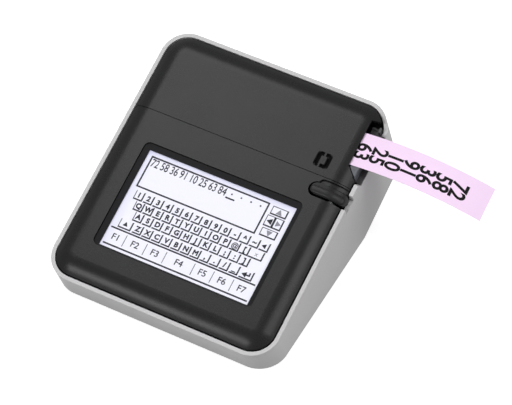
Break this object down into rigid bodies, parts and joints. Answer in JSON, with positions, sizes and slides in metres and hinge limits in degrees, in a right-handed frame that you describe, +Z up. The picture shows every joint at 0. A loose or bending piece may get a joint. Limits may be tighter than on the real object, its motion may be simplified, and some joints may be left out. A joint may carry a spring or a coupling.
{
  "type": "label maker",
  "caption": "Wedge-shaped desktop label maker: grey case, pillowed black deck with touch screen, hinged tape cover, cutter lever and printed tape leaving at the right.",
  "frame": {"origin": "Middle of the box of the whole part, tape included, in X and Y, on the plane of its rubber feet.", "axes": "+Z up, +X to the right where the tape leaves, +Y to the raised back."},
  "size_m": [0.1842, 0.1491, 0.0644],
  "materials": {
    "case_grey": "fine satin grain",
    "deck_black": "fine matt grain",
    "bezel_black": "smooth semi-gloss",
    "screen_film": "matt touch film",
    "lever_black": "satin",
    "inner_black": "matt",
    "guide_grey": "satin",
    "label_paper": "uncoated paper",
    "bare_steel": "brushed",
    "roller_rubber": "ground",
    "foot_rubber": "moulded",
    "gear_white": "moulded",
    "board_green": "solder mask",
    "chip_black": "moulded",
    "display_glass": "display glass edge",
    "head_ceramic": "glazed ceramic",
    "cassette_plastic": "satin",
    "core_plastic": "moulded",
    "cell_jacket": "printed sleeve left plain"
  },
  "bodies": {
    "case": {"lower_case": "case_grey", "front_panel": "deck_black", "hinge_pins": "bare_steel", "cassette_bay": "inner_black", "rubber_feet": "foot_rubber", "case_screws": "bare_steel", "screen_bezel": "bezel_black", "touch_panel": "screen_film", "lcd_panel": "display_glass", "lcd_tray": "bare_steel", "main_board": "board_green", "board_screws": "bare_steel", "board_chips": "chip_black", "supply_tape": "label_paper", "label_tape": "label_paper", "cassette_case": "cassette_plastic", "cassette_lid": "cassette_plastic", "feed_motor": "bare_steel", "thermal_head": "head_ceramic", "head_bracket": "bare_steel", "fixed_blade": "bare_steel", "lever_pin": "bare_steel", "lever_spring": "bare_steel", "exit_tray": "inner_black", "exit_guide": "guide_grey", "battery_tray": "inner_black", "battery_cells": "cell_jacket", "battery_contacts": "bare_steel", "power_switch": "chip_black", "dc_jack": "inner_black", "jack_pin": "bare_steel"},
    "cover": {"tape_cover": "deck_black"},
    "cutter": {"cutter_lever": "lever_black", "cutter_blade": "bare_steel"},
    "button": {"power_button": "deck_black"},
    "platen": {"platen_shaft": "bare_steel", "platen_rubber": "roller_rubber", "platen_gear": "gear_white"},
    "idler": {"idler_gear": "gear_white"},
    "rotor": {"motor_shaft": "bare_steel", "motor_pinion": "gear_white"},
    "reel": {"tape_core": "core_plastic", "tape_roll": "label_paper"},
    "door": {"battery_door": "case_grey"}
  },
  "joints": [
    {"name": "cover_hinge", "type": "hinge", "parent": "case", "child": "cover", "pos_m": [-0.0294, 0.04998, 0.06007], "axis": [-1, 0, 0], "range_deg": [0, 82]},
    {"name": "lever_press", "type": "hinge", "parent": "case", "child": "cutter", "pos_m": [0.0206, 0.02065, 0.04849], "axis": [1, 0, 0], "range_deg": [0, 7], "stiffness_Nm_per_rad": 0.06, "springref_deg": -4.58, "deforming": ["lever_spring"]},
    {"name": "power_press", "type": "slide", "parent": "case", "child": "button", "axis": [1, 0, 0], "range_m": [0, 0.0007], "stiffness_N_per_m": 500, "springref_m": -0.0004},
    {"name": "door_slide", "type": "slide", "parent": "case", "child": "door", "axis": [0, -1, 0], "range_m": [0, 0.008]},
    {"name": "platen_spin", "type": "hinge", "parent": "case", "child": "platen", "pos_m": [0.00835, 0.03788, 0.0479], "axis": [0, 0.9455, 0.3256], "continuous": true},
    {"name": "idler_spin", "type": "hinge", "parent": "case", "child": "idler", "pos_m": [0.00424, 0.02727, 0.03232], "axis": [0, 0.9455, 0.3256], "continuous": true},
    {"name": "motor_spin", "type": "hinge", "parent": "case", "child": "rotor", "pos_m": [-0.0059, 0.02848, 0.02883], "axis": [0, 0.9455, 0.3256], "continuous": true},
    {"name": "reel_spin", "type": "hinge", "parent": "case", "child": "reel", "pos_m": [-0.0224, 0.04277, 0.0337], "axis": [0, 0.9455, 0.3256], "continuous": true}
  ],
  "couplings": [
    {"joint": "platen_spin", "follows": "reel_spin", "ratio": 3.4444},
    {"joint": "idler_spin", "follows": "reel_spin", "ratio": -2.2963},
    {"joint": "motor_spin", "follows": "reel_spin", "ratio": 4.5926}
  ]
}
